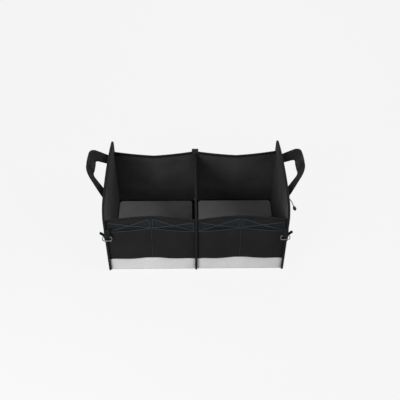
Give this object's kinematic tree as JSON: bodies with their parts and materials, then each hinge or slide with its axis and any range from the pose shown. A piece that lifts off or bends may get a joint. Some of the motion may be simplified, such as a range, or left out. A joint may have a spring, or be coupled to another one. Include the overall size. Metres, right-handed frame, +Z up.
{
  "type": "car storage box",
  "caption": "Folding fabric storage box for a car boot with open bays, laced front pockets, webbing handles and a light coated base.",
  "frame": {"origin": "centre of the flat underside of the base sheet", "axes": "+Z up, +X to the right across both bays, -Y out of the front with the pockets"},
  "size_m": [0.8498, 0.4693, 0.3762],
  "materials": {
    "panel_fabric": "matt woven polyester over board",
    "wall_fabric": "matt woven polyester over board",
    "binding_tape": "ribbed tape",
    "coated_base": "smooth coated cloth",
    "floor_felt": "matt cloth over board",
    "pocket_fabric": "matt woven polyester",
    "elastic_cord": "braided elastic",
    "webbing": "ribbed webbing",
    "ring_wire": "satin plated wire",
    "eyelet_metal": "black satin",
    "toggle_plastic": "satin"
  },
  "bodies": {
    "box": {"side_panel_left": "panel_fabric", "side_panel_right": "panel_fabric", "divider_panel": "panel_fabric", "front_wall_left": "wall_fabric", "front_wall_right": "wall_fabric", "rear_wall_left": "wall_fabric", "rear_wall_right": "wall_fabric", "side_binding_left": "binding_tape", "side_binding_right": "binding_tape", "divider_binding": "binding_tape", "front_hem_left": "binding_tape", "front_hem_right": "binding_tape", "rear_hem_left": "binding_tape", "rear_hem_right": "binding_tape", "base_sheet": "coated_base", "base_band_front_left": "coated_base", "base_band_front_right": "coated_base", "base_band_rear_left": "coated_base", "base_band_rear_right": "coated_base", "floor_board_left": "floor_felt", "floor_board_right": "floor_felt", "pocket_panel_left": "pocket_fabric", "pocket_panel_right": "pocket_fabric", "mouth_cord_left": "elastic_cord", "mouth_cord_right": "elastic_cord", "pocket_lace_inner_left": "elastic_cord", "pocket_lace_inner_right": "elastic_cord", "pocket_lace_outer_left": "elastic_cord", "pocket_lace_outer_right": "elastic_cord", "side_cord": "elastic_cord", "handle_strap_left": "webbing", "handle_strap_right": "webbing", "grip_sleeve_left": "webbing", "grip_sleeve_right": "webbing", "ring_loop_left": "webbing", "ring_loop_right": "webbing", "corner_tab_left": "webbing", "corner_tab_right": "webbing", "divider_rear_tab": "webbing", "cord_eyelet": "eyelet_metal", "cord_toggle": "toggle_plastic"},
    "ring_left": {"corner_ring_left": "ring_wire"},
    "ring_right": {"corner_ring_right": "ring_wire"}
  },
  "joints": [
    {"name": "ring_left_swing", "type": "hinge", "parent": "box", "child": "ring_left", "pos_m": [-0.338, -0.2337, 0.19], "axis": [-1, 0, 0], "range_deg": [-6, 140]},
    {"name": "ring_right_swing", "type": "hinge", "parent": "box", "child": "ring_right", "pos_m": [0.338, -0.2337, 0.19], "axis": [-1, 0, 0], "range_deg": [-6, 140]}
  ]
}
